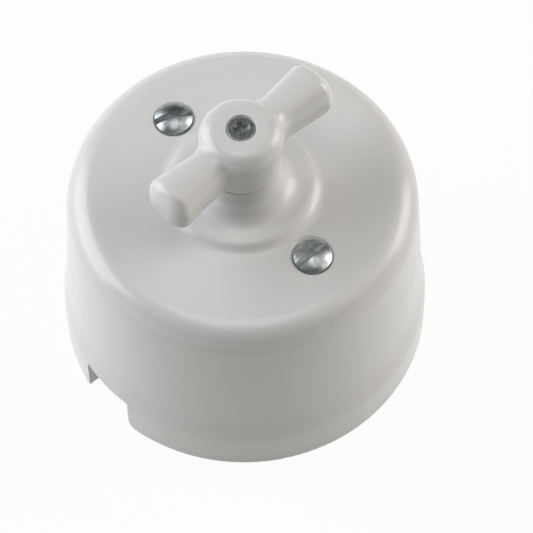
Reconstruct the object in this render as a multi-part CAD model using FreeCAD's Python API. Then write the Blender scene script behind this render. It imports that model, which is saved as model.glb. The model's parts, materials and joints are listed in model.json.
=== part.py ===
"""Surface-mounted porcelain rotary switch, in millimetres.

The wall is the plane z = 0 and +Z points out of it, along the spindle. The two cover screws lie on
the X axis, and the cable comes in at -Y. Left is -X and right is +X.
"""
import FreeCAD, Part
import math
import os

Vector = FreeCAD.Vector
UP = Vector(0, 0, 1)
CENTRE = Vector(0, 0, 0)

# Cover shell
FOOT_R = 32.5  # foot band, against the wall
FOOT_EDGE = 0.8  # rounding of the foot's outer edge
FOOT_H = 8.5  # height of the foot band
SHOULDER_H = 5.5  # soft slope from the foot band to the wall
SHOULDER_STEP = 0.85  # how far the foot band stands proud of the wall
SHOULDER_ROUND = 14.0
WALL_DRAFT = 1.4  # the wall leans in by this much up to the rim
RIM_ROUND = 4.9
COVER_H = 40.4  # top of the cover, at its rim
TOP_RISE = 1.1  # the top rises by this much from the rim to the boss
COVER_WALL = 3.0
COVER_TOP_WALL = 3.5
INNER_ROUND = 2.0

# Boss in the middle of the cover's top
STEP_FOOT_R = 13.8
STEP_TOP_R = 12.1
STEP_H = 1.2
STEP_FOOT_ROUND = 3.0
STEP_TOP_ROUND = 3.0
DISC_RISE = 0.4  # the boss's disc rises by this much towards the neck
NECK_R = 6.5
NECK_H = 8.6  # top of the neck above the cover's rim
NECK_SWEEP = 4.9
NECK_EDGE = 0.4
BOSS_BORE_R = 4.2
BOSS_HOLLOW_R = 9.0
BOSS_WALL = 3.4  # wall left over the hollow under the boss

# Cable notch in the cover's foot and the slot behind it in the base
NOTCH_W = 11.0
NOTCH_H = 8.6
NOTCH_TOP_ROUND = 0.6
NOTCH_LEFT_FOOT_ROUND = 0.8  # at -X, a nearly sharp corner
NOTCH_RIGHT_FOOT_ROUND = 3.0  # at +X, a wide sweep
SLOT_SIDE_GAP = 0.4  # the base's slot is this much wider than the notch on each side
SLOT_DEPTH = 5.6

# Porcelain base
BASE_T = 8.0
BASE_COVER_GAP = 0.9
BASE_EDGE = 0.8
PAD_H = 2.0  # raised pads under the terminals
PAD_MARGIN = 0.5
BUSH_FLOOR = 3.0  # porcelain left under the spindle's lower bearing
WALL_SCREW_SPACING = 34.0
WALL_SCREW_HOLE_R = 2.2
WALL_SCREW_SEAT_R = 4.2
WALL_SCREW_SEAT_DEPTH = 3.0

# Fasteners and fits
M4_R = 2.0
M3_R = 1.5
THREAD_GAP = 0.03  # between a screw and its thread
CLEARANCE_GAP = 0.2  # between a screw and a plain hole
SEAT_GAP = 0.05  # between a countersunk head and its seat
RUN_GAP = 0.03  # radial, spindle in its bushes
END_GAP = 0.05  # axial, at each end of the turning stack
SLIP_GAP = 0.02  # bush in its hole, square in its socket
PAN_HEAD_H = 2.2
PAN_HEAD_EXTRA_R = 1.4  # a pan head is this much larger than its shank
HEAD_ROOM = 0.7  # counterbore round a pan head, and its depth past the head
SLOT_W = 1.2
SLOT_D = 1.1
TIP_GAP = 0.6  # a screw stops this far from the bottom of its hole

# Cover screws and the pillars that take them
SCREW_SPACING = 36.8
COVER_SCREW_HEAD_R = 3.3
COVER_SCREW_DOME = 1.05
COVER_SCREW_RIM = 0.7
COVER_SCREW_PROUD = 0.15  # the head's rim stands this far above the cover's top
COVER_SEAT_GAP = 0.2  # open ring round the head
COVER_SEAT_EDGE = 0.3  # bevel of the seat's edge
LEFT_SLOT_ANGLE = 65.0
RIGHT_SLOT_ANGLE = 86.0
PILLAR_ACROSS_FLATS = 7.0
PILLAR_STUD_L = 6.0
PILLAR_SCREW_L = 7.0
PILLAR_FLOOR = 1.0

# Spindle and the stack that turns on it
SPINDLE_R = 3.5
BUSH_R = 5.0
BUSH_FLANGE_R = 6.5
BUSH_FLANGE_T = 1.0
BUSH_STAND = 1.5  # the upper bush stands this far above the bridge plate
WASHER_T = 0.6
WASHER_R = 5.6
WASHER_HOLE_GAP = 0.2
COLLAR_R = 5.0
COLLAR_T = 1.35
ROTOR_SQUARE = 7.2  # across the flats of the spindle's lower square
ROTOR_SQUARE_CORNER_R = 4.4
ROTOR_R = 7.8
ROTOR_LOWER_T = 3.0
ROTOR_FLANGE_T = 3.3
ROTOR_HUB_R = 6.0
ROTOR_HUB_T = 3.0
RIVET_R = 0.8
RIVET_HEAD_R = 1.1
RIVET_HEAD_T = 0.7
RIVET_EDGE = 1.5  # from the rotor's edge to a rivet's axis
SPACER_R = 5.0
SPACER_T = 2.5

# Contacts
BLADE_T = 1.2
RING_LEDGE = 1.8  # the blade's ring shows this far past the rotor
LOBE_L = 3.0
LOBE_HALF_ANGLE = 18.0
LOBE_ANGLE = 135.0
CONTACT_T = 0.9
CONTACT_W = 6.0
CONTACT_GAP = 0.1
JAW_RING_GAP = 0.8
JAW_TIP_GAP = 1.0
WIPER_ROTOR_GAP = 0.3
WIPER_DROP = 0.6  # the wiper's strip lies this far under the blade
WIPER_BUTTON_R = 0.6
WIPER_BUTTON_GAP = 0.05
WIPER_FLAT = 2.0
LEFT_CONTACT_ANGLE = 135.0
RIGHT_CONTACT_ANGLE = 45.0
COMMON_CONTACT_ANGLE = 225.0

# Terminals
TERMINAL_L = 6.6
TERMINAL_W = 7.5
TERMINAL_H = 10.0
TERMINAL_EDGE = 0.5
TERMINAL_JAW_GAP = 0.4
TERMINAL_FLOOR = 3.3
WIRE_HOLE_R = 1.8
CLAMP_SCREW_UNDER_HEAD = 1.4  # the clamp screw stands open by this much

# Bridge plate across the pillars, with a tab for the detent spring
BRIDGE_T = 1.5
BRIDGE_HALF_W = 5.5
BRIDGE_DISC_R = 8.5
TAB_HALF_W = 5.0
TAB_DROP = 7.5
TAB_EDGE = 0.8

# Detent
STAR_R = 8.0
STAR_T = 3.0
NOTCH_COUNT = 4
SPRING_T = 0.5
SPRING_OVERHANG = 0.75  # the spring is this much taller than the star at each side
SPRING_STAR_GAP = 0.5
SPRING_BACK_GAP = 3.5  # from the star to the spring's back
SPRING_TIP = 4.0  # the spring's arms end this far past the axis
BUMP_R = 1.4
BUMP_GAP = 0.3
SPRING_RIVET_R = 1.0
SPRING_RIVET_HEAD_R = 1.8
SPRING_RIVET_HEAD_T = 0.7
SPRING_RIVET_X = 3.0

# Handle
HANDLE_GAP = 0.4  # between the neck and the handle's hub
HUB_H = 10.45
HUB_TOP_R = 7.5
HUB_FOOT_R = 6.7
HUB_TOP_ROUND = 3.0
HUB_FOOT_ROUND = 0.4
ARM_TIP = 18.5  # from the axis to an arm's end
ARM_RISE = 4.85  # middle of the arms above the hub's foot
ARM_ROOT_W = 5.6  # on the axis
ARM_TIP_W = 9.8
ARM_ROOT_H = 7.9
ARM_TIP_H = 9.4
ARM_SQUARENESS = 2.4  # exponent of the arm's oval section
ARM_END_L = 2.6  # length of the rounded end
ARM_END_INSET = 3.9  # how far the rounded end draws in
ARM_END_SWEEP = 82.0
ARM_BLEND = 4.4  # hollow radius where an arm leaves the hub
ARM_UNDER_BLEND = 1.0  # the same on its underside
ARM_BLEND_SINK = 0.06  # the hollow is set this far into the hub
ARM_BLEND_SWEEP = 58.0  # largest turn of the hollow
ARM_SECTION_POINTS = 24
ARM_BLEND_STEPS = 9
ARM_END_STEPS = 6
HANDLE_SKEW = 3.1  # the handle stands this many degrees round from the Y axis
SOCKET_DEPTH = 6.2
HANDLE_SQUARE = 5.0
HANDLE_SQUARE_L = 8.2
HANDLE_SCREW_HEAD_R = 2.4
HANDLE_SCREW_RIM = 0.3
HANDLE_SCREW_SUNK = 0.25
HANDLE_SCREW_LIP = 0.18
HANDLE_SCREW_EDGE = 0.2
HANDLE_SCREW_L = 7.5  # thread inside the spindle
CROSS_W = 0.95
CROSS_SPAN_R = 1.55
CROSS_D = 1.3
CROSS_ANGLE = 62.0

# Levels and radii that follow from the sizes above
WALL_FOOT_R = FOOT_R - SHOULDER_STEP
WALL_TOP_R = WALL_FOOT_R - WALL_DRAFT
INNER_FOOT_R = FOOT_R - COVER_WALL
INNER_RIM_R = WALL_TOP_R - COVER_WALL
INNER_TOP = COVER_H - COVER_TOP_WALL
NECK_TOP = COVER_H + NECK_H
BASE_R = INNER_FOOT_R - BASE_COVER_GAP
PILLAR_X = SCREW_SPACING / 2
TOP_AT_SCREW = COVER_H + TOP_RISE * (WALL_TOP_R - PILLAR_X) / (WALL_TOP_R - STEP_FOOT_R)
COVER_SCREW_RIM_TOP = TOP_AT_SCREW + COVER_SCREW_PROUD
COVER_SCREW_CONE_TOP = COVER_SCREW_RIM_TOP - COVER_SCREW_RIM
COVER_SCREW_CONE_LOW = COVER_SCREW_CONE_TOP - (COVER_SCREW_HEAD_R - M4_R)
PAD_TOP = BASE_T + PAD_H
COLLAR_LOW = BASE_T + BUSH_FLANGE_T + WASHER_T + END_GAP
ROTOR_LOW = COLLAR_LOW + COLLAR_T
BLADE_LOW = ROTOR_LOW + ROTOR_LOWER_T
BLADE_TOP = BLADE_LOW + BLADE_T
ROTOR_FLANGE_TOP = BLADE_TOP + ROTOR_FLANGE_T
STAR_LOW = ROTOR_FLANGE_TOP + ROTOR_HUB_T
STAR_TOP = STAR_LOW + STAR_T
SPACER_TOP = STAR_TOP + SPACER_T
BRIDGE_LOW = SPACER_TOP + END_GAP + BUSH_FLANGE_T
BRIDGE_TOP = BRIDGE_LOW + BRIDGE_T
RING_R = ROTOR_R + RING_LEDGE
BLADE_R = RING_R + LOBE_L
JAW_INNER = BLADE_R + JAW_TIP_GAP
JAW_OUTER = JAW_INNER + CONTACT_T
TERMINAL_INNER = JAW_OUTER + TERMINAL_JAW_GAP
TERMINAL_OUTER = TERMINAL_INNER + TERMINAL_L
TERMINAL_MID = (TERMINAL_INNER + TERMINAL_OUTER) / 2
TERMINAL_LOW = PAD_TOP + CONTACT_T
TERMINAL_TOP = TERMINAL_LOW + TERMINAL_H
HUB_LOW = NECK_TOP + HANDLE_GAP
HUB_TOP = HUB_LOW + HUB_H
HUB_LEAN = math.atan2(HUB_TOP_R - HUB_FOOT_R, HUB_H)
HANDLE_SCREW_TOP = HUB_TOP - HANDLE_SCREW_SUNK
HANDLE_SCREW_CONE_TOP = HANDLE_SCREW_TOP - HANDLE_SCREW_RIM
HANDLE_SCREW_CONE_LOW = HANDLE_SCREW_CONE_TOP - (HANDLE_SCREW_HEAD_R - M3_R)
SPINDLE_LOW = BUSH_FLOOR + END_GAP
SPINDLE_TOP = HUB_LOW + SOCKET_DEPTH
TAB_OUTER = -(STAR_R + SPRING_BACK_GAP + SPRING_T + BRIDGE_T)
TAB_LOW = BRIDGE_LOW - TAB_DROP
SPRING_RIVET_Z = (STAR_LOW + STAR_TOP) / 2
BEYOND = 5.0  # cutters run this far past what they cut


def rounded_face(corners):
    """A face in the XZ plane with corners (x, z, rounding), each rounded by a tangent arc."""
    points = [Vector(x, 0, z) for x, z, _ in corners]
    bends = []
    for index, here in enumerate(points):
        radius = corners[index][2]
        before = (points[index - 1] - here).normalize()
        after = (points[(index + 1) % len(points)] - here).normalize()
        half = before.getAngle(after) / 2
        reach = radius / math.tan(half)
        inward = (before + after).normalize() if radius else Vector()
        middle = here + inward * (radius / math.sin(half) - radius)
        bends.append((radius, here + before * reach, middle, here + after * reach))
    edges = []
    for index, (radius, start, middle, end) in enumerate(bends):
        if radius:
            edges.append(Part.Arc(start, middle, end).toShape())
        edges.append(Part.makeLine(end, bends[(index + 1) % len(bends)][1]))
    return Part.Face(Part.Wire(edges))


def turned(corners):
    """A solid turned about the Z axis from corners (radius, z, rounding)."""
    return rounded_face(corners).revolve(CENTRE, UP, 360)


def cylinder(radius, low, high, x=0.0, y=0.0):
    return Part.makeCylinder(radius, high - low, Vector(x, y, low))


def ring(outer, inner, low, high):
    return cylinder(outer, low, high).cut(cylinder(inner, low, high))


def block(x, y, z):
    """A box between pairs of limits along X, Y and Z."""
    return Part.makeBox(x[1] - x[0], y[1] - y[0], z[1] - z[0], Vector(x[0], y[0], z[0]))


def square_bar(across, low, high):
    return block((-across / 2, across / 2), (-across / 2, across / 2), (low, high))


def hexagon_bar(across, low, high, x):
    """A hexagonal bar along Z with a flat facing the axis."""
    corner_r = across / math.sqrt(3)
    angles = [math.radians(30 + 60 * side) for side in range(7)]
    points = [Vector(x + corner_r * math.cos(a), corner_r * math.sin(a), low) for a in angles]
    return Part.Face(Part.makePolygon(points)).extrude(UP * (high - low))


def extruded_along_y(face, start, end):
    """A face in the XZ plane, drawn out between two limits along Y."""
    return face.translated(Vector(0, start, 0)).extrude(Vector(0, end - start, 0))


def about_axis(shape, angle):
    """The shape turned about the switch's axis by an angle in degrees."""
    return shape.rotated(CENTRE, UP, angle)


def screw_slot(top, radius, angle, x=0.0):
    """A straight screwdriver slot, cut down from a head's top."""
    end = radius + BEYOND
    slot = block((-end, end), (-SLOT_W / 2, SLOT_W / 2), (top - SLOT_D, top + BEYOND))
    return about_axis(slot, angle).translated(Vector(x, 0, 0))


def seat_for_pan_head(shank_r, top, x, y):
    """The hole and counterbore from the back of the base for a screw whose head sits at a depth."""
    head_r = shank_r + PAN_HEAD_EXTRA_R + HEAD_ROOM
    bore = cylinder(head_r, -BEYOND, PAN_HEAD_H + HEAD_ROOM, x, y)
    return bore.fuse(cylinder(shank_r + CLEARANCE_GAP, -BEYOND, top, x, y))


def back_screw(shank_r, tip, x=0.0, y=0.0):
    """A pan-head screw put in from the back of the base, with its head in the counterbore."""
    head_low = HEAD_ROOM
    head_top = HEAD_ROOM + PAN_HEAD_H
    head = cylinder(shank_r + PAN_HEAD_EXTRA_R, head_low, head_top, x, y)
    head = head.cut(block(
        (x - 2 * shank_r - BEYOND, x + 2 * shank_r + BEYOND),
        (y - SLOT_W / 2, y + SLOT_W / 2),
        (head_low, head_low + SLOT_D),
    ))
    return head.fuse(cylinder(shank_r, head_top, tip, x, y))


def terminal_places():
    return [LEFT_CONTACT_ANGLE, RIGHT_CONTACT_ANGLE, COMMON_CONTACT_ANGLE]


def polar(radius, angle):
    return radius * math.cos(math.radians(angle)), radius * math.sin(math.radians(angle))


def make_cover():
    """The shell, with its boss, cable notch and the two countersunk screw seats."""
    step_foot = COVER_H + TOP_RISE
    disc_top = step_foot + STEP_H
    hollow_top = disc_top - BOSS_WALL
    shell = turned([
        (INNER_FOOT_R, 0, 0),
        (FOOT_R, 0, FOOT_EDGE),
        (FOOT_R, FOOT_H, SHOULDER_ROUND),
        (WALL_FOOT_R, FOOT_H + SHOULDER_H, SHOULDER_ROUND),
        (WALL_TOP_R, COVER_H, RIM_ROUND),
        (STEP_FOOT_R, step_foot, STEP_FOOT_ROUND),
        (STEP_TOP_R, disc_top, STEP_TOP_ROUND),
        (NECK_R, disc_top + DISC_RISE, NECK_SWEEP),
        (NECK_R, NECK_TOP, NECK_EDGE),
        (BOSS_BORE_R, NECK_TOP, NECK_EDGE),
        (BOSS_BORE_R, hollow_top, 0),
        (BOSS_HOLLOW_R, hollow_top, INNER_ROUND),
        (BOSS_HOLLOW_R, INNER_TOP, 0),
        (INNER_RIM_R, INNER_TOP, INNER_ROUND),
    ])
    side = NOTCH_W / 2
    left_flare = -side - 2 * NOTCH_LEFT_FOOT_ROUND
    right_flare = side + 2 * NOTCH_RIGHT_FOOT_ROUND
    notch = rounded_face([
        (left_flare, -BEYOND, 0),
        (left_flare, 0, 0),
        (-side, 0, NOTCH_LEFT_FOOT_ROUND),
        (-side, NOTCH_H, NOTCH_TOP_ROUND),
        (side, NOTCH_H, NOTCH_TOP_ROUND),
        (side, 0, NOTCH_RIGHT_FOOT_ROUND),
        (right_flare, 0, 0),
        (right_flare, -BEYOND, 0),
    ])
    shell = shell.cut(extruded_along_y(notch, -FOOT_R - BEYOND, -FOOT_R / 2))
    hole_r = M4_R + CLEARANCE_GAP
    cone_low = COVER_SCREW_CONE_LOW - SEAT_GAP
    seat_r = COVER_SCREW_HEAD_R + COVER_SEAT_GAP
    mouth_r = seat_r + 2 * COVER_SEAT_EDGE
    seat = turned([
        (0, INNER_TOP - BEYOND, 0),
        (hole_r, INNER_TOP - BEYOND, 0),
        (hole_r, cone_low + hole_r - M4_R, 0),
        (seat_r, cone_low + seat_r - M4_R, 0),
        (seat_r, TOP_AT_SCREW - COVER_SEAT_EDGE, 0),
        (mouth_r, TOP_AT_SCREW + COVER_SEAT_EDGE, 0),
        (mouth_r, COVER_H + BEYOND, 0),
        (0, COVER_H + BEYOND, 0),
    ])
    for x in (-PILLAR_X, PILLAR_X):
        shell = shell.cut(seat.translated(Vector(x, 0, 0)))
    return shell


def make_cover_screws():
    """Two slotted raised countersunk screws, as the photographed switch has them turned."""
    tip = BRIDGE_TOP + PILLAR_FLOOR + TIP_GAP
    top = COVER_SCREW_RIM_TOP + COVER_SCREW_DOME
    dome_r = (COVER_SCREW_HEAD_R ** 2 + COVER_SCREW_DOME ** 2) / (2 * COVER_SCREW_DOME)
    cone_h = COVER_SCREW_CONE_TOP - COVER_SCREW_CONE_LOW
    screws = []
    for x, angle in ((-PILLAR_X, LEFT_SLOT_ANGLE), (PILLAR_X, RIGHT_SLOT_ANGLE)):
        dome = Part.makeSphere(dome_r, Vector(x, 0, top - dome_r))
        head = dome.common(cylinder(COVER_SCREW_HEAD_R, COVER_SCREW_CONE_TOP, top + BEYOND, x))
        cone = Part.makeCone(M4_R, COVER_SCREW_HEAD_R, cone_h, Vector(x, 0, COVER_SCREW_CONE_LOW))
        shank = cylinder(M4_R, tip, COVER_SCREW_CONE_LOW, x)
        screw = head.fuse([cone, shank]).removeSplitter()
        screws.append(screw.cut(screw_slot(top, COVER_SCREW_HEAD_R, angle, x)))
    return Part.makeCompound(screws)


def make_base():
    """The porcelain disc with its terminal pads, bearing seat, cable slot and screw holes."""
    base = turned([
        (0, 0, 0),
        (BASE_R, 0, 0),
        (BASE_R, BASE_T, BASE_EDGE),
        (0, BASE_T, 0),
    ])
    pad_side = TERMINAL_W / 2 + PAD_MARGIN
    pad = block(
        (JAW_INNER - PAD_MARGIN, TERMINAL_OUTER + PAD_MARGIN),
        (-pad_side, pad_side),
        (BASE_T - BASE_EDGE, PAD_TOP),
    )
    base = base.fuse([about_axis(pad, angle) for angle in terminal_places()])
    cuts = [cylinder(BUSH_R + SLIP_GAP, BUSH_FLOOR, BASE_T + BEYOND)]
    for x in (-PILLAR_X, PILLAR_X):
        cuts.append(seat_for_pan_head(M4_R, BASE_T + BEYOND, x, 0))
    for angle in terminal_places():
        cuts.append(seat_for_pan_head(M3_R, PAD_TOP + BEYOND, *polar(TERMINAL_MID, angle)))
    for y in (-WALL_SCREW_SPACING / 2, WALL_SCREW_SPACING / 2):
        seat_low = BASE_T - WALL_SCREW_SEAT_DEPTH
        cuts.append(cylinder(WALL_SCREW_HOLE_R, -BEYOND, BASE_T + BEYOND, 0, y))
        cuts.append(cylinder(WALL_SCREW_SEAT_R, seat_low, BASE_T + BEYOND, 0, y))
    slot_side = NOTCH_W / 2 + SLOT_SIDE_GAP
    cuts.append(block(
        (-slot_side, slot_side),
        (-BASE_R - BEYOND, -BASE_R + SLOT_DEPTH),
        (-BEYOND, BASE_T + BEYOND),
    ))
    for cut in cuts:
        base = base.cut(cut)
    return base.removeSplitter()


def make_lower_pillar(x):
    """A hexagonal pillar from the base to the bridge plate, tapped at both ends."""
    pillar = hexagon_bar(PILLAR_ACROSS_FLATS, BASE_T, BRIDGE_LOW, x)
    thread_r = M4_R + THREAD_GAP
    pillar = pillar.cut(cylinder(thread_r, BASE_T, BASE_T + PILLAR_SCREW_L + TIP_GAP, x))
    return pillar.cut(cylinder(thread_r, BRIDGE_LOW - PILLAR_STUD_L - TIP_GAP, BRIDGE_LOW, x))


def make_upper_pillar(x):
    """A hexagonal pillar from the bridge plate to the cover, with a stud below and a thread above."""
    pillar = hexagon_bar(PILLAR_ACROSS_FLATS, BRIDGE_TOP, INNER_TOP, x)
    pillar = pillar.cut(cylinder(M4_R + THREAD_GAP, BRIDGE_TOP + PILLAR_FLOOR, INNER_TOP, x))
    return pillar.fuse(cylinder(M4_R, BRIDGE_LOW - PILLAR_STUD_L, BRIDGE_TOP, x))


def make_pillar_screws():
    tip = BASE_T + PILLAR_SCREW_L
    return Part.makeCompound([back_screw(M4_R, tip, x) for x in (-PILLAR_X, PILLAR_X)])


def make_base_bush():
    """The spindle's lower bearing, a flanged bush let into the base."""
    body = cylinder(BUSH_R, BUSH_FLOOR, BASE_T)
    flange = cylinder(BUSH_FLANGE_R, BASE_T, BASE_T + BUSH_FLANGE_T)
    return body.fuse(flange).cut(cylinder(SPINDLE_R + RUN_GAP, 0, BASE_T + BEYOND))


def make_bridge_bush():
    """The spindle's upper bearing, a flanged bush let into the bridge plate from below."""
    flange = cylinder(BUSH_FLANGE_R, BRIDGE_LOW - BUSH_FLANGE_T, BRIDGE_LOW)
    body = cylinder(BUSH_R, BRIDGE_LOW, BRIDGE_TOP + BUSH_STAND)
    return body.fuse(flange).cut(cylinder(SPINDLE_R + RUN_GAP, 0, BRIDGE_TOP + BEYOND))


def make_thrust_washer():
    low = BASE_T + BUSH_FLANGE_T
    return ring(WASHER_R, SPINDLE_R + WASHER_HOLE_GAP, low, low + WASHER_T)


def make_spindle():
    """The steel spindle: journal, collar, rotor square, journal, then a tapped handle square."""
    journal = cylinder(SPINDLE_R, SPINDLE_LOW, SPINDLE_TOP - HANDLE_SQUARE_L)
    collar = cylinder(COLLAR_R, COLLAR_LOW, ROTOR_LOW)
    seat = square_bar(ROTOR_SQUARE, ROTOR_LOW, STAR_TOP)
    seat = seat.common(cylinder(ROTOR_SQUARE_CORNER_R, ROTOR_LOW, STAR_TOP))
    square_low = SPINDLE_TOP - HANDLE_SQUARE_L
    top = square_bar(HANDLE_SQUARE, square_low, SPINDLE_TOP)
    top = top.common(cylinder(SPINDLE_R, square_low, SPINDLE_TOP))
    spindle = journal.fuse([collar, seat, about_axis(top, HANDLE_SKEW)]).removeSplitter()
    thread_low = SPINDLE_TOP - HANDLE_SCREW_L - TIP_GAP
    return spindle.cut(cylinder(M3_R + THREAD_GAP, thread_low, SPINDLE_TOP))


def rotor_square_hole(low, high):
    hole = square_bar(ROTOR_SQUARE + 2 * SLIP_GAP, low, high)
    return hole.common(cylinder(ROTOR_SQUARE_CORNER_R + SLIP_GAP, low, high))


def rivet_places():
    """The rotor's two rivets, square to the blade's lobes."""
    return [polar(ROTOR_R - RIVET_EDGE, LOBE_ANGLE + side) for side in (90, 270)]


def rotor_rivet(x, y, gap):
    """A flush rivet through both rotor halves, grown by a gap for its hole."""
    low_head = cylinder(RIVET_HEAD_R + gap, ROTOR_LOW, ROTOR_LOW + RIVET_HEAD_T + gap, x, y)
    top_head = cylinder(RIVET_HEAD_R + gap, ROTOR_FLANGE_TOP - RIVET_HEAD_T - gap, ROTOR_FLANGE_TOP, x, y)
    shank = cylinder(RIVET_R + gap, ROTOR_LOW, ROTOR_FLANGE_TOP, x, y)
    return shank.fuse([low_head, top_head])


def on_rotor(shape, low, high):
    """The shape with the spindle's square and the rivets cut out of it."""
    shape = shape.cut(rotor_square_hole(low, high))
    for x, y in rivet_places():
        shape = shape.cut(rotor_rivet(x, y, SLIP_GAP))
    return shape


def make_rotor_lower():
    return on_rotor(cylinder(ROTOR_R, ROTOR_LOW, BLADE_LOW), ROTOR_LOW, BLADE_LOW)


def make_rotor_upper():
    flange = cylinder(ROTOR_R, BLADE_TOP, ROTOR_FLANGE_TOP)
    hub = cylinder(ROTOR_HUB_R, ROTOR_FLANGE_TOP, STAR_LOW)
    hub_notches = [rotor_rivet_room(x, y) for x, y in rivet_places()]
    return on_rotor(flange.fuse(hub.cut(hub_notches)), BLADE_TOP, STAR_LOW)


def rotor_rivet_room(x, y):
    """Room beside the rotor's hub for closing a rivet's upper head."""
    return cylinder(RIVET_HEAD_R + CLEARANCE_GAP, ROTOR_FLANGE_TOP, STAR_LOW, x, y)


def make_rotor_rivets():
    return Part.makeCompound([rotor_rivet(x, y, 0) for x, y in rivet_places()])


def make_contact_blade():
    """The turning contact: a ring with two opposite lobes, clamped between the rotor halves."""
    half_w = BLADE_R * math.sin(math.radians(LOBE_HALF_ANGLE))
    lobes = block((-BLADE_R, BLADE_R), (-half_w, half_w), (BLADE_LOW, BLADE_TOP))
    lobes = lobes.common(cylinder(BLADE_R, BLADE_LOW, BLADE_TOP))
    blade = cylinder(RING_R, BLADE_LOW, BLADE_TOP).fuse(about_axis(lobes, LOBE_ANGLE))
    return on_rotor(blade.removeSplitter(), BLADE_LOW, BLADE_TOP)


def make_spacer_sleeve():
    return ring(SPACER_R, SPINDLE_R + WASHER_HOLE_GAP, STAR_TOP, SPACER_TOP)


def make_jaw(angle):
    """A fixed contact: a foot under the terminal, an upright and two fingers round the blade's path."""
    tip = RING_R + JAW_RING_GAP
    lower = BLADE_LOW - CONTACT_GAP
    upper = BLADE_TOP + CONTACT_GAP
    profile = rounded_face([
        (TERMINAL_OUTER, PAD_TOP, 0),
        (TERMINAL_OUTER, TERMINAL_LOW, 0),
        (JAW_OUTER, TERMINAL_LOW, 0),
        (JAW_OUTER, upper + CONTACT_T, CONTACT_T / 2),
        (tip, upper + CONTACT_T, CONTACT_T / 2),
        (tip, upper, 0),
        (JAW_INNER, upper, 0),
        (JAW_INNER, lower, 0),
        (tip, lower, 0),
        (tip, lower - CONTACT_T, CONTACT_T / 2),
        (JAW_INNER, lower - CONTACT_T, 0),
        (JAW_INNER, PAD_TOP, CONTACT_T / 2),
    ])
    jaw = extruded_along_y(profile, -CONTACT_W / 2, CONTACT_W / 2)
    return about_axis(jaw.cut(fixing_hole()), angle)


def fixing_hole():
    """The hole in a contact's foot for the screw that holds it under its terminal."""
    return cylinder(M3_R + CLEARANCE_GAP, 0, TERMINAL_LOW + BEYOND, TERMINAL_MID)


def make_common_wiper():
    """The common contact: a foot under its terminal and a strip that bears on the blade's ring."""
    tip = ROTOR_R + WIPER_ROTOR_GAP
    strip_top = BLADE_LOW - WIPER_DROP
    strip_low = strip_top - CONTACT_T
    flat_end = tip + WIPER_FLAT
    profile = rounded_face([
        (TERMINAL_OUTER, PAD_TOP, 0),
        (TERMINAL_OUTER, TERMINAL_LOW, 0),
        (JAW_OUTER, TERMINAL_LOW, CONTACT_T / 2),
        (flat_end, strip_top, CONTACT_T / 2),
        (tip, strip_top, 0),
        (tip, strip_low, 0),
        (flat_end, strip_low, CONTACT_T / 2),
        (JAW_OUTER, PAD_TOP, CONTACT_T / 2),
    ])
    wiper = extruded_along_y(profile, -CONTACT_W / 2, CONTACT_W / 2)
    button_x = (ROTOR_R + RING_R) / 2 + WIPER_ROTOR_GAP / 2
    button = cylinder(WIPER_BUTTON_R, strip_low, BLADE_LOW - WIPER_BUTTON_GAP, button_x)
    return about_axis(wiper.fuse(button).cut(fixing_hole()), COMMON_CONTACT_ANGLE)


def make_terminal_block(angle):
    """A brass block with a cross hole for the wire, tapped from above and below."""
    terminal = block(
        (TERMINAL_INNER, TERMINAL_OUTER),
        (-TERMINAL_W / 2, TERMINAL_W / 2),
        (TERMINAL_LOW, TERMINAL_TOP),
    )
    upright = [edge for edge in terminal.Edges if edge.BoundBox.ZLength > TERMINAL_H / 2]
    terminal = terminal.makeFillet(TERMINAL_EDGE, upright)
    wire_z = wire_hole_z()
    wire_start = Vector(TERMINAL_MID, -TERMINAL_W / 2, wire_z)
    wire = Part.makeCylinder(WIRE_HOLE_R, TERMINAL_W, wire_start, Vector(0, 1, 0))
    thread_r = M3_R + THREAD_GAP
    below = cylinder(thread_r, TERMINAL_LOW, TERMINAL_LOW + TERMINAL_FLOOR - TIP_GAP, TERMINAL_MID)
    above = cylinder(thread_r, wire_z, TERMINAL_TOP, TERMINAL_MID)
    return about_axis(terminal.cut([wire, below, above]), angle)


def wire_hole_z():
    return TERMINAL_LOW + TERMINAL_FLOOR + WIRE_HOLE_R


def make_terminal_screws():
    """The clamp screws, backed off as they come before wiring."""
    head_low = TERMINAL_TOP + CLAMP_SCREW_UNDER_HEAD
    head_top = head_low + PAN_HEAD_H
    head_r = M3_R + PAN_HEAD_EXTRA_R
    head = cylinder(head_r, head_low, head_top).cut(screw_slot(head_top, head_r, 0))
    tip = wire_hole_z() + WIRE_HOLE_R
    screw = head.fuse(cylinder(M3_R, tip, head_low)).translated(Vector(TERMINAL_MID, 0, 0))
    return Part.makeCompound([about_axis(screw, angle) for angle in terminal_places()])


def make_fixing_screws():
    """The screws from the back of the base that hold the terminals and their contacts."""
    tip = TERMINAL_LOW + TERMINAL_FLOOR - 2 * TIP_GAP
    return Part.makeCompound([back_screw(M3_R, tip, *polar(TERMINAL_MID, a)) for a in terminal_places()])


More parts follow.
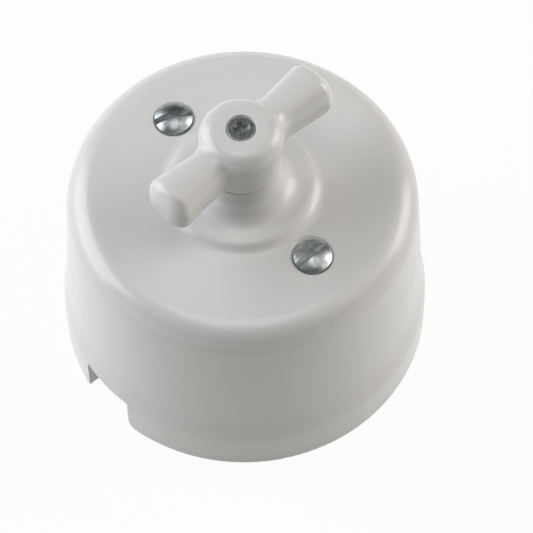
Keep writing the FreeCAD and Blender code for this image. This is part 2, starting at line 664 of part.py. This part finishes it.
def make_bridge_plate():
    """A flat plate across the pillars, with a tab bent down at -Y for the detent spring."""
    strip = block((-PILLAR_X, PILLAR_X), (-BRIDGE_HALF_W, BRIDGE_HALF_W), (BRIDGE_LOW, BRIDGE_TOP))
    ends = [cylinder(BRIDGE_HALF_W, BRIDGE_LOW, BRIDGE_TOP, x) for x in (-PILLAR_X, PILLAR_X)]
    disc = cylinder(BRIDGE_DISC_R, BRIDGE_LOW, BRIDGE_TOP)
    arm = block((-TAB_HALF_W, TAB_HALF_W), (TAB_OUTER, 0), (BRIDGE_LOW, BRIDGE_TOP))
    tab = block((-TAB_HALF_W, TAB_HALF_W), (TAB_OUTER, TAB_OUTER + BRIDGE_T), (TAB_LOW, BRIDGE_TOP))
    plate = strip.fuse(ends + [disc, arm, tab]).removeSplitter()
    bend = [
        edge
        for edge in plate.Edges
        if edge.BoundBox.YMax < TAB_OUTER + TAB_EDGE / 2 and edge.BoundBox.ZMin > BRIDGE_TOP - TAB_EDGE / 2
    ]
    plate = plate.makeFillet(TAB_EDGE, bend)
    holes = [cylinder(M4_R + CLEARANCE_GAP, BRIDGE_LOW, BRIDGE_TOP, x) for x in (-PILLAR_X, PILLAR_X)]
    holes.append(cylinder(BUSH_R + SLIP_GAP, BRIDGE_LOW, BRIDGE_TOP))
    return plate.cut(holes + spring_rivets(SLIP_GAP))


def spring_rivets(gap):
    """The detent spring's rivets through the tab, grown by a gap for their holes."""
    rivets = []
    for x in (-SPRING_RIVET_X, SPRING_RIVET_X):
        start = Vector(x, TAB_OUTER, SPRING_RIVET_Z)
        rivets.append(Part.makeCylinder(SPRING_RIVET_R + gap, BRIDGE_T + SPRING_T, start, Vector(0, 1, 0)))
    return rivets


def make_spring_rivets():
    heads = []
    for shank in spring_rivets(0):
        box = shank.BoundBox
        for start in (box.YMin - SPRING_RIVET_HEAD_T, box.YMax):
            place = Vector(box.Center.x, start, SPRING_RIVET_Z)
            head = Part.makeCylinder(SPRING_RIVET_HEAD_R, SPRING_RIVET_HEAD_T, place, Vector(0, 1, 0))
            shank = shank.fuse(head)
        heads.append(shank)
    return Part.makeCompound(heads)


def make_detent_spring():
    """A hairpin strip on the tab, with a formed bump on each arm that drops into the star."""
    low = STAR_LOW - SPRING_OVERHANG
    high = STAR_TOP + SPRING_OVERHANG
    inner = STAR_R + SPRING_STAR_GAP
    outer = inner + SPRING_T
    back = TAB_OUTER + BRIDGE_T
    strip = block((-outer, outer), (back, SPRING_TIP), (low, high))
    strip = strip.cut(block((-inner, inner), (back + SPRING_T, SPRING_TIP), (low, high)))
    for side in (-1, 1):
        bump = cylinder(BUMP_R, low, high, side * inner)
        bump = bump.common(block((-inner, inner), (-BUMP_R, BUMP_R), (low, high)))
        strip = strip.fuse(bump)
        strip = strip.cut(cylinder(BUMP_R - SPRING_T, low, high, side * (inner + SPRING_T / 2)))
    return strip.cut(spring_rivets(SLIP_GAP))


def make_detent_star():
    """The wheel whose notches hold the switch at each quarter turn."""
    star = cylinder(STAR_R, STAR_LOW, STAR_TOP).cut(rotor_square_hole(STAR_LOW, STAR_TOP))
    notch = cylinder(BUMP_R + BUMP_GAP, STAR_LOW, STAR_TOP, STAR_R + SPRING_STAR_GAP)
    for index in range(NOTCH_COUNT):
        star = star.cut(about_axis(notch, index * 360 / NOTCH_COUNT))
    return star


def arm_point(reach, angle):
    """A point on the arm's plain oval section at a distance from the axis, and the way out there."""
    share = reach / ARM_TIP
    half_w = (ARM_ROOT_W + (ARM_TIP_W - ARM_ROOT_W) * share) / 2
    half_h = (ARM_ROOT_H + (ARM_TIP_H - ARM_ROOT_H) * share) / 2
    c, s = math.cos(angle), math.sin(angle)
    power = 2 / ARM_SQUARENESS
    slope = 2 - power
    y = math.copysign(half_w * abs(c) ** power, c)
    z = math.copysign(half_h * abs(s) ** power, s)
    out_y = math.copysign(abs(c) ** slope / half_w, c)
    out_z = math.copysign(abs(s) ** slope / half_h, s)
    return Vector(reach, y, HUB_LOW + ARM_RISE + z), Vector(0, out_y, out_z).normalize()


def clear_of_hub(point):
    """How far a point lies outside the hub's side and rounded top."""
    round_z = HUB_TOP - HUB_TOP_ROUND
    round_r = HUB_TOP_R - HUB_TOP_ROUND * math.tan(math.pi / 4 + HUB_LEAN / 2)
    out = math.hypot(point.x, point.y)
    if out < round_r:
        return point.z - HUB_TOP
    if point.z - round_z > (round_r - out) * math.tan(HUB_LEAN):
        return math.hypot(out - round_r, point.z - round_z) - HUB_TOP_ROUND
    return (out - HUB_FOOT_R) * math.cos(HUB_LEAN) - (point.z - HUB_LOW) * math.sin(HUB_LEAN)


def arm_hollow(angle):
    """The hollow between hub and arm on one line of the arm: its radius, where it starts, its length."""
    under = max(-math.sin(angle), 0)
    radius = ARM_BLEND + (ARM_UNDER_BLEND - ARM_BLEND) * under
    low, high = 0, ARM_TIP
    while high - low > END_GAP / 100:
        start = (low + high) / 2
        point, out = arm_point(start, angle)
        if clear_of_hub(point + out * radius) < radius:
            low = start
        else:
            high = start
    centre = point + out * radius
    ahead = clear_of_hub(centre + Vector(END_GAP, 0, 0)) - clear_of_hub(centre)
    length = radius * min(ahead / END_GAP, math.sin(math.radians(ARM_BLEND_SWEEP)))
    return radius, start - ARM_BLEND_SINK, length


def arm_section(reach, hollows, inset=0.0):
    """The arm's section at a distance from the axis as a closed curve, with its hollows or drawn in."""
    points = []
    for step, (radius, start, length) in enumerate(hollows):
        point, out = arm_point(reach, 2 * math.pi * step / ARM_SECTION_POINTS)
        run = min(max(start - reach, 0), length)
        growth = radius - math.sqrt(radius ** 2 - run ** 2)
        points.append(point + out * (growth - inset))
    curve = Part.BSplineCurve()
    curve.interpolate(points, PeriodicFlag=True)
    return Part.Wire(curve.toShape())


def make_arm():
    """One arm along +X: a hollow blend out of the hub, a straight run and a rounded end."""
    hollows = [arm_hollow(2 * math.pi * step / ARM_SECTION_POINTS) for step in range(ARM_SECTION_POINTS)]
    blend_in = min(start - length for _, start, length in hollows)
    blend_out = max(start for _, start, _ in hollows)
    blend = []
    for step in range(ARM_BLEND_STEPS):
        reach = blend_in + (blend_out - blend_in) * step / (ARM_BLEND_STEPS - 1)
        blend.append(arm_section(reach, hollows))
    end = []
    end_start = ARM_TIP - ARM_END_L
    for step in range(ARM_END_STEPS):
        angle = math.radians(ARM_END_SWEEP) * step / (ARM_END_STEPS - 1)
        reach = end_start + ARM_END_L * math.sin(angle)
        end.append(arm_section(reach, hollows, ARM_END_INSET * (1 - math.cos(angle))))
    root = Part.makeLoft(blend, True, False)
    run = Part.makeLoft([blend[-1], end[0]], True, True)
    return root.fuse([run, Part.makeLoft(end, True, False)])


def make_handle():
    """The porcelain handle: a hub with two arms, a square socket below and a screw seat on top."""
    hub = turned([
        (0, HUB_LOW, 0),
        (HUB_FOOT_R, HUB_LOW, HUB_FOOT_ROUND),
        (HUB_TOP_R, HUB_TOP, HUB_TOP_ROUND),
        (0, HUB_TOP, 0),
    ])
    arm = make_arm()
    handle = hub.fuse([arm, about_axis(arm, 180)])
    handle = handle.rotated(CENTRE, UP, 90)
    across = HANDLE_SQUARE + 2 * SLIP_GAP
    socket = square_bar(across, HUB_LOW - BEYOND, SPINDLE_TOP)
    socket = socket.common(cylinder(SPINDLE_R + SLIP_GAP, HUB_LOW - BEYOND, SPINDLE_TOP))
    hole_r = M3_R + CLEARANCE_GAP
    lip_r = HANDLE_SCREW_HEAD_R + HANDLE_SCREW_LIP
    seat_low = HANDLE_SCREW_CONE_LOW - SEAT_GAP
    seat = turned([
        (0, SPINDLE_TOP - BEYOND, 0),
        (hole_r, SPINDLE_TOP - BEYOND, 0),
        (hole_r, seat_low + hole_r - M3_R, 0),
        (lip_r, seat_low + lip_r - M3_R, 0),
        (lip_r, HUB_TOP, HANDLE_SCREW_LIP),
        (lip_r + 2 * HANDLE_SCREW_LIP, HUB_TOP, 0),
        (lip_r + 2 * HANDLE_SCREW_LIP, HUB_TOP + BEYOND, 0),
        (0, HUB_TOP + BEYOND, 0),
    ])
    return about_axis(handle.cut([socket, seat]), HANDLE_SKEW)


def make_handle_screw():
    """A countersunk screw with a cross recess, down through the hub into the spindle."""
    top = HANDLE_SCREW_TOP
    tip = SPINDLE_TOP - HANDLE_SCREW_L
    screw = turned([
        (0, tip, 0),
        (M3_R, tip, 0),
        (M3_R, HANDLE_SCREW_CONE_LOW, 0),
        (HANDLE_SCREW_HEAD_R, HANDLE_SCREW_CONE_TOP, 0),
        (HANDLE_SCREW_HEAD_R, top, HANDLE_SCREW_EDGE),
        (0, top, 0),
    ])
    wing = block((-CROSS_SPAN_R, CROSS_SPAN_R), (-CROSS_W / 2, CROSS_W / 2), (top - CROSS_D, top))
    taper = Part.makeCone(CROSS_W / 2, CROSS_SPAN_R, CROSS_D, Vector(0, 0, top - CROSS_D))
    cross = wing.fuse(about_axis(wing, 90)).common(taper)
    return screw.cut(about_axis(cross, CROSS_ANGLE))


NODES = {
    "cover": make_cover(),
    "cover_screws": make_cover_screws(),
    "base": make_base(),
    "lower_pillar_left": make_lower_pillar(-PILLAR_X),
    "lower_pillar_right": make_lower_pillar(PILLAR_X),
    "upper_pillar_left": make_upper_pillar(-PILLAR_X),
    "upper_pillar_right": make_upper_pillar(PILLAR_X),
    "pillar_screws": make_pillar_screws(),
    "base_bush": make_base_bush(),
    "bridge_plate": make_bridge_plate(),
    "bridge_bush": make_bridge_bush(),
    "thrust_washer": make_thrust_washer(),
    "traveller_jaw_left": make_jaw(LEFT_CONTACT_ANGLE),
    "traveller_jaw_right": make_jaw(RIGHT_CONTACT_ANGLE),
    "common_wiper": make_common_wiper(),
    "terminal_block_left": make_terminal_block(LEFT_CONTACT_ANGLE),
    "terminal_block_right": make_terminal_block(RIGHT_CONTACT_ANGLE),
    "terminal_block_common": make_terminal_block(COMMON_CONTACT_ANGLE),
    "terminal_screws": make_terminal_screws(),
    "fixing_screws": make_fixing_screws(),
    "detent_spring": make_detent_spring(),
    "spring_rivets": make_spring_rivets(),
    "spindle": make_spindle(),
    "rotor_lower": make_rotor_lower(),
    "contact_blade": make_contact_blade(),
    "rotor_upper": make_rotor_upper(),
    "rotor_rivets": make_rotor_rivets(),
    "detent_star": make_detent_star(),
    "spacer_sleeve": make_spacer_sleeve(),
    "handle": make_handle(),
    "handle_screw": make_handle_screw(),
}

os.makedirs("parts", exist_ok=True)
for name, shape in NODES.items():
    shape.exportStep(f"parts/{name}.step")
    box = shape.BoundBox
    print(
        f"{name}: {len(shape.Solids)} solids, valid {shape.isValid()}, {shape.Volume:.1f} mm3, "
        f"z {box.ZMin:.2f} to {box.ZMax:.2f}"
    )
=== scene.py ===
"""Porcelain rotary switch: the finish of every piece, the floor, the light and the camera.

Lengths are in metres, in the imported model's frame: +Z out of the wall, the cover screws on X and
the cable notch at -Y. Noise scales are in features per metre.
"""
import json
import math

import bpy
from mathutils import Matrix, Vector


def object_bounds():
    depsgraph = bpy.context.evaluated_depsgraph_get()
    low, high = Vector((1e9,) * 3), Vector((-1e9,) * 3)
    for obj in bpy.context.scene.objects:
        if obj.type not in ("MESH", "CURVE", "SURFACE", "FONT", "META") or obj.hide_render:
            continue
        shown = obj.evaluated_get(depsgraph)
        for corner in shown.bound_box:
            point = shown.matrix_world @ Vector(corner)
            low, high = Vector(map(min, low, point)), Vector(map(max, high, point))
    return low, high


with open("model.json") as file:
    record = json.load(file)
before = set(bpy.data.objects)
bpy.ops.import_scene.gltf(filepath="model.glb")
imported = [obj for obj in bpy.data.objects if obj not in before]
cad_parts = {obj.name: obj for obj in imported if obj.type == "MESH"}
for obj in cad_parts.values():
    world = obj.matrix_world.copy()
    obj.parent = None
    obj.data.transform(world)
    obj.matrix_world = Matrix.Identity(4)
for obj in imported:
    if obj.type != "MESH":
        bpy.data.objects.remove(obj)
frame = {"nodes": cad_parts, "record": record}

CAD_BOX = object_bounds()
NODES = frame["nodes"]

# Camera, as fitted to the photograph
VIEW_AZIMUTH = 50.0
VIEW_ELEVATION = 59.8
VIEW_ROLL = -0.81
VIEW_DISTANCE = 0.600
VIEW_HEIGHT = 0.020  # height of the aim point on the switch's axis
VIEW_RIGHT = 0.00395  # shift of the aim point in the picture's own directions
VIEW_UP = -0.00316
VIEW_LENS = 228.66
SENSOR = 36.0

# Floor and background
WHITE = (1, 1, 1, 1)
FLOOR_SIZE = 6.0
FLOOR_DROP = 0.00005  # the floor lies this far under the switch's back
FLOOR_COLOUR = (0.80, 0.79, 0.74, 1)
FLOOR_ROUGHNESS = 0.8
FLOOR_SHADE = 0.05  # share of the floor's own shading that shows against white
WORLD_FILL = 0.06
FILL_COLOUR = (1.0, 0.97, 0.90, 1)
HORIZON = (0.08, 0.16)  # the white fades to the fill between these heights

# Softboxes: name, azimuth from the camera's, elevation, size, watts, colour
SOFTBOX_DISTANCE = 0.60
SOFTBOXES = (
    ("left_softbox", -104.0, 28.0, (0.58, 0.50), 3.25, (0.94, 0.965, 1.0)),
    ("right_softbox", 108.0, 22.0, (0.32, 0.35), 1.32, (1.0, 0.975, 0.945)),
    ("high_right_softbox", 88.0, 45.0, (0.52, 0.52), 0.88, (1.0, 0.94, 0.87)),
    ("top_softbox", 0.0, 89.0, (0.32, 0.32), 0.55, (1.0, 0.985, 0.96)),
)

# Shader nodes
NOISE_RANGE = (0.3, 0.7)  # where most of a noise's values lie
FULL_RANGE = (0, 1)
MIX_FIRST, MIX_SECOND, MIX_RESULT = 6, 7, 2  # the mix node's colour sockets

# Porcelain glaze
GLAZE_IOR = 1.6
GLAZE_COOL = (0.750, 0.754, 0.758)
GLAZE_WARM = (0.772, 0.769, 0.763)
GLAZE_ROUGHNESS = (0.20, 0.26)
GLAZE_CLOUDS = 70
GLAZE_SHEEN = 420  # change of roughness from place to place
GLAZE_WAVES = 110
GLAZE_WAVE_HEIGHT = 0.00006
GLAZE_GRAIN = 1300
GLAZE_GRAIN_HEIGHT = 0.000004
SPECK_CELLS = 260  # one speck at most in each cell
SPECK_COLOUR = (0.50, 0.49, 0.46)
SPECK_STRENGTH = 0.8
SPECK_FADE = (0.02, 0.06)  # a speck fades out between these distances in its cell
SPECK_PICK = (0.45, 0.60)  # cells with a draw under the first have no speck

# Zinc plating
PLATING_PATCH_RANGE = (0.38, 0.66)
PLATING_SHEEN = 1800
PLATING_SCRATCHES = 900
PLATING_SCRATCH_STRETCH = (1, 9, 1)
PLATING_SCRATCH_HEIGHT = 0.000020
PLATING_GRAIN = 2600
PLATING_GRAIN_HEIGHT = 0.000014

# Plain worked metal
METAL_TARNISH = 240
METAL_SHEEN = 700
METAL_GRAIN = 1500
METAL_GRAIN_STRETCH = (1, 1, 14)
METAL_GRAIN_HEIGHT = 0.000008

# Dark moulded insulator
MOULDING_DARK = (0.035, 0.024, 0.018)
MOULDING_FLECK = (0.085, 0.055, 0.038)
MOULDING_FLECKS = 1500
MOULDING_FLECK_RANGE = (0.45, 0.7)
MOULDING_ROUGHNESS = (0.38, 0.55)
MOULDING_SHEEN = 500
MOULDING_GRAIN = 2200
MOULDING_GRAIN_HEIGHT = 0.000012

# Plated slots of the record: material, light colour, dark colour, roughness, scale of the patches
PLATINGS = {
    "zinc_steel": ("bright_zinc", (0.60, 0.63, 0.64), (0.38, 0.42, 0.43), (0.28, 0.38), 1100),
    "dull_zinc_steel": ("dull_zinc", (0.54, 0.575, 0.58), (0.34, 0.365, 0.37), (0.30, 0.42), 1200),
}

# Plain metal slots of the record: material, light colour, dark colour, roughness
METALS = {
    "plate_steel": ("plain_steel", (0.58, 0.59, 0.60), (0.46, 0.46, 0.46), (0.28, 0.42)),
    "spring_steel": ("blued_spring_steel", (0.30, 0.33, 0.40), (0.22, 0.22, 0.26), (0.28, 0.40)),
    "brass": ("plain_brass", (0.80, 0.62, 0.30), (0.62, 0.45, 0.20), (0.28, 0.38)),
}


def maths(tree, operation, first, second):
    """The result of a math node on an output and a number or another output."""
    made = tree.nodes.new("ShaderNodeMath")
    made.operation = operation
    tree.links.new(first, made.inputs[0])
    if isinstance(second, float):
        made.inputs[1].default_value = second
    else:
        tree.links.new(second, made.inputs[1])
    return made.outputs[0]


def map_range(tree, value, source, target):
    """Maps a value from one pair of limits to another and keeps it between them."""
    made = tree.nodes.new("ShaderNodeMapRange")
    names = ("From Min", "From Max", "To Min", "To Max")
    for name, number in zip(names, (*source, *target)):
        made.inputs[name].default_value = number
    tree.links.new(value, made.inputs["Value"])
    return made.outputs["Result"]


class Shader:
    """A new node material, with short calls for the few kinds of node used here."""

    def __init__(self, name):
        self.material = bpy.data.materials.new(name)
        self.material.use_nodes = True
        self.tree = self.material.node_tree
        self.surface = self.tree.nodes["Principled BSDF"]
        self.place = self.tree.nodes.new("ShaderNodeTexCoord").outputs["Object"]

    def node(self, kind):
        return self.tree.nodes.new(kind)

    def link(self, output, target):
        self.tree.links.new(output, target)

    def set(self, name, value):
        """Sets one of the surface's plain inputs."""
        self.surface.inputs[name].default_value = value

    def noise(self, scale, detail=2, stretch=None):
        """Noise over the object, drawn finer along each axis by a stretch if one is given."""
        made = self.node("ShaderNodeTexNoise")
        made.inputs["Scale"].default_value = scale
        made.inputs["Detail"].default_value = detail
        source = self.place
        if stretch:
            mapping = self.node("ShaderNodeMapping")
            mapping.inputs["Scale"].default_value = stretch
            self.link(source, mapping.inputs["Vector"])
            source = mapping.outputs["Vector"]
        self.link(source, made.inputs["Vector"])
        return made.outputs[0]

    def spread(self, value, target=FULL_RANGE, source=NOISE_RANGE):
        """Maps a value, as a rule a noise, to a pair of limits."""
        return map_range(self.tree, value, source, target)

    def mix(self, factor, first, second):
        """A colour between two, each a fixed colour or another node's output."""
        made = self.node("ShaderNodeMix")
        made.data_type = "RGBA"
        self.link(factor, made.inputs[0])
        for index, colour in ((MIX_FIRST, first), (MIX_SECOND, second)):
            if isinstance(colour, tuple):
                made.inputs[index].default_value = (*colour, 1)
            else:
                self.link(colour, made.inputs[index])
        return made.outputs[MIX_RESULT]

    def bump(self, height, distance, below=None):
        """A bump of a real height, over another bump if one is given."""
        made = self.node("ShaderNodeBump")
        made.inputs["Strength"].default_value = 1.0
        made.inputs["Distance"].default_value = distance
        self.link(height, made.inputs["Height"])
        if below:
            self.link(below, made.inputs["Normal"])
        return made.outputs["Normal"]

    def finish(self, colour, roughness, normal):
        """Links the three outputs to the surface and gives back the material."""
        self.link(colour, self.surface.inputs["Base Color"])
        self.link(roughness, self.surface.inputs["Roughness"])
        self.link(normal, self.surface.inputs["Normal"])
        return self.material


def porcelain():
    """Satin white glaze: faint clouding, slight waviness and a few dark specks."""
    s = Shader("porcelain_glaze")
    s.set("IOR", GLAZE_IOR)
    colour = s.mix(s.spread(s.noise(GLAZE_CLOUDS, detail=3)), GLAZE_COOL, GLAZE_WARM)
    colour = s.mix(glaze_specks(s), colour, SPECK_COLOUR)
    roughness = s.spread(s.noise(GLAZE_SHEEN), GLAZE_ROUGHNESS)
    waves = s.bump(s.noise(GLAZE_WAVES), GLAZE_WAVE_HEIGHT)
    return s.finish(colour, roughness, s.bump(s.noise(GLAZE_GRAIN), GLAZE_GRAIN_HEIGHT, waves))


def glaze_specks(s):
    """How much of a dark speck shows: a dot in the middle of some of the cells."""
    cells = s.node("ShaderNodeTexVoronoi")
    cells.inputs["Scale"].default_value = SPECK_CELLS
    s.link(s.place, cells.inputs["Vector"])
    near = s.spread(cells.outputs["Distance"], (SPECK_STRENGTH, 0), SPECK_FADE)
    draw = s.node("ShaderNodeSeparateColor")
    s.link(cells.outputs["Color"], draw.inputs["Color"])
    picked = s.spread(draw.outputs[0], FULL_RANGE, SPECK_PICK)
    return maths(s.tree, "MULTIPLY", near, picked)


def plated(name, light, dark, roughness_range, patches):
    """Zinc-plated steel with cloudy patches and fine scratches."""
    s = Shader(name)
    s.set("Metallic", 1.0)
    cloudy = s.spread(s.noise(patches, detail=4), FULL_RANGE, PLATING_PATCH_RANGE)
    colour = s.mix(cloudy, dark, light)
    roughness = s.spread(s.noise(PLATING_SHEEN, detail=3), roughness_range)
    streaks = s.noise(PLATING_SCRATCHES, stretch=PLATING_SCRATCH_STRETCH)
    scratches = s.bump(streaks, PLATING_SCRATCH_HEIGHT)
    grain = s.bump(s.noise(PLATING_GRAIN, detail=3), PLATING_GRAIN_HEIGHT, scratches)
    return s.finish(colour, roughness, grain)


def metal(name, light, dark, roughness_range):
    """Plain worked metal with a drawn grain and faint tarnish."""
    s = Shader(name)
    s.set("Metallic", 1.0)
    colour = s.mix(s.spread(s.noise(METAL_TARNISH, detail=3)), dark, light)
    roughness = s.spread(s.noise(METAL_SHEEN, stretch=METAL_GRAIN_STRETCH), roughness_range)
    grain = s.bump(s.noise(METAL_GRAIN, stretch=METAL_GRAIN_STRETCH), METAL_GRAIN_HEIGHT)
    return s.finish(colour, roughness, grain)


def moulding():
    """Dark moulded insulator with a flecked, slightly rough skin."""
    s = Shader("rotor_moulding")
    flecks = s.spread(s.noise(MOULDING_FLECKS, detail=3), FULL_RANGE, MOULDING_FLECK_RANGE)
    colour = s.mix(flecks, MOULDING_DARK, MOULDING_FLECK)
    roughness = s.spread(s.noise(MOULDING_SHEEN), MOULDING_ROUGHNESS)
    grain = s.bump(s.noise(MOULDING_GRAIN, detail=3), MOULDING_GRAIN_HEIGHT)
    return s.finish(colour, roughness, grain)


def dress_nodes():
    """Gives each node the material of its slot in the record."""
    finishes = {"porcelain": porcelain()}
    for slot, look in PLATINGS.items():
        finishes[slot] = plated(*look)
    for slot, look in METALS.items():
        finishes[slot] = metal(*look)
    finishes["rotor_moulding"] = moulding()
    for part in frame["record"]["subparts"]:
        piece = NODES[part["node"]]
        piece.data.materials.clear()
        piece.data.materials.append(finishes[part["material_slot"]])


def seen_directly(tree):
    """One where the camera, a reflection or a transmission looks at a surface, else zero."""
    path = tree.nodes.new("ShaderNodeLightPath").outputs
    seen = maths(tree, "MAXIMUM", path["Is Camera Ray"], path["Is Glossy Ray"])
    return maths(tree, "MAXIMUM", seen, path["Is Transmission Ray"])


def mix_shaders(tree, factor, first, second, output):
    """Blends two shaders into a material's or a world's output."""
    mix = tree.nodes.new("ShaderNodeMixShader")
    tree.links.new(factor, mix.inputs[0])
    tree.links.new(first, mix.inputs[1])
    tree.links.new(second, mix.inputs[2])
    tree.links.new(mix.outputs[0], output)


def make_floor():
    """A pale floor at the back of the switch, nearly white but for the switch's shadow."""
    half = FLOOR_SIZE / 2
    mesh = bpy.data.meshes.new("floor")
    corners = [(-half, -half, 0), (half, -half, 0), (half, half, 0), (-half, half, 0)]
    mesh.from_pydata(corners, [], [(0, 1, 2, 3)])
    floor = bpy.data.objects.new("floor", mesh)
    floor.location.z = CAD_BOX[0].z - FLOOR_DROP
    bpy.context.scene.collection.objects.link(floor)
    material = bpy.data.materials.new("floor_paper")
    material.use_nodes = True
    tree = material.node_tree
    surface = tree.nodes["Principled BSDF"]
    surface.inputs["Base Color"].default_value = FLOOR_COLOUR
    surface.inputs["Roughness"].default_value = FLOOR_ROUGHNESS
    white = tree.nodes.new("ShaderNodeEmission")
    white.inputs["Color"].default_value = WHITE
    share = maths(tree, "MULTIPLY", seen_directly(tree), 1 - FLOOR_SHADE)
    output = tree.nodes["Material Output"].inputs["Surface"]
    mix_shaders(tree, share, surface.outputs[0], white.outputs[0], output)
    mesh.materials.append(material)


def make_world():
    """A dim, even studio whose horizon is white, as the background of views from the side."""
    world = bpy.data.worlds.new("studio")
    world.use_nodes = True
    bpy.context.scene.world = world
    tree = world.node_tree
    fill = tree.nodes["Background"]
    fill.inputs["Color"].default_value = FILL_COLOUR
    fill.inputs["Strength"].default_value = WORLD_FILL
    white = tree.nodes.new("ShaderNodeBackground")
    white.inputs["Color"].default_value = WHITE
    place = tree.nodes.new("ShaderNodeTexCoord")
    parts = tree.nodes.new("ShaderNodeSeparateXYZ")
    tree.links.new(place.outputs["Generated"], parts.inputs[0])
    low = map_range(tree, parts.outputs["Z"], HORIZON, (1, 0))
    share = maths(tree, "MULTIPLY", seen_directly(tree), low)
    output = tree.nodes["World Output"].inputs["Surface"]
    mix_shaders(tree, share, fill.outputs[0], white.outputs[0], output)


def direction(azimuth, elevation):
    """Unit vector from the switch towards a place at an azimuth and elevation in degrees."""
    a, e = math.radians(azimuth), math.radians(elevation)
    return Vector((math.sin(a) * math.cos(e), -math.cos(a) * math.cos(e), math.sin(e)))


def make_lights():
    """Softboxes round the switch, each placed by its angle from the camera."""
    aim = Vector((0, 0, VIEW_HEIGHT))
    for name, azimuth, elevation, (width, height), watts, colour in SOFTBOXES:
        light = bpy.data.lights.new(name, "AREA")
        light.shape = "RECTANGLE"
        light.size, light.size_y = width, height
        light.energy = watts
        light.color = colour
        lamp = bpy.data.objects.new(name, light)
        away = direction(VIEW_AZIMUTH + azimuth, elevation)
        lamp.location = aim + away * SOFTBOX_DISTANCE
        lamp.rotation_mode = "QUATERNION"
        lamp.rotation_quaternion = away.to_track_quat("Z", "Y")
        bpy.context.scene.collection.objects.link(lamp)


def make_camera():
    """The camera at the photograph's angle, with its slight roll."""
    back = direction(VIEW_AZIMUTH, VIEW_ELEVATION)
    level = Vector((-back.y, back.x, 0)).normalized()
    upright = back.cross(level)
    aim = Vector((0, 0, VIEW_HEIGHT)) + level * VIEW_RIGHT + upright * VIEW_UP
    turn = math.radians(VIEW_ROLL)
    right = level * math.cos(turn) + upright * math.sin(turn)
    up = upright * math.cos(turn) - level * math.sin(turn)
    data = bpy.data.cameras.new("camera")
    data.lens = VIEW_LENS
    data.sensor_width = SENSOR
    camera = bpy.data.objects.new("camera", data)
    axes = Matrix((right, up, back)).transposed().to_4x4()
    camera.matrix_world = Matrix.Translation(aim + back * VIEW_DISTANCE) @ axes
    bpy.context.scene.collection.objects.link(camera)
    bpy.context.scene.camera = camera


dress_nodes()
make_floor()
make_world()
make_lights()
make_camera()
bpy.context.scene.view_settings.view_transform = "Standard"
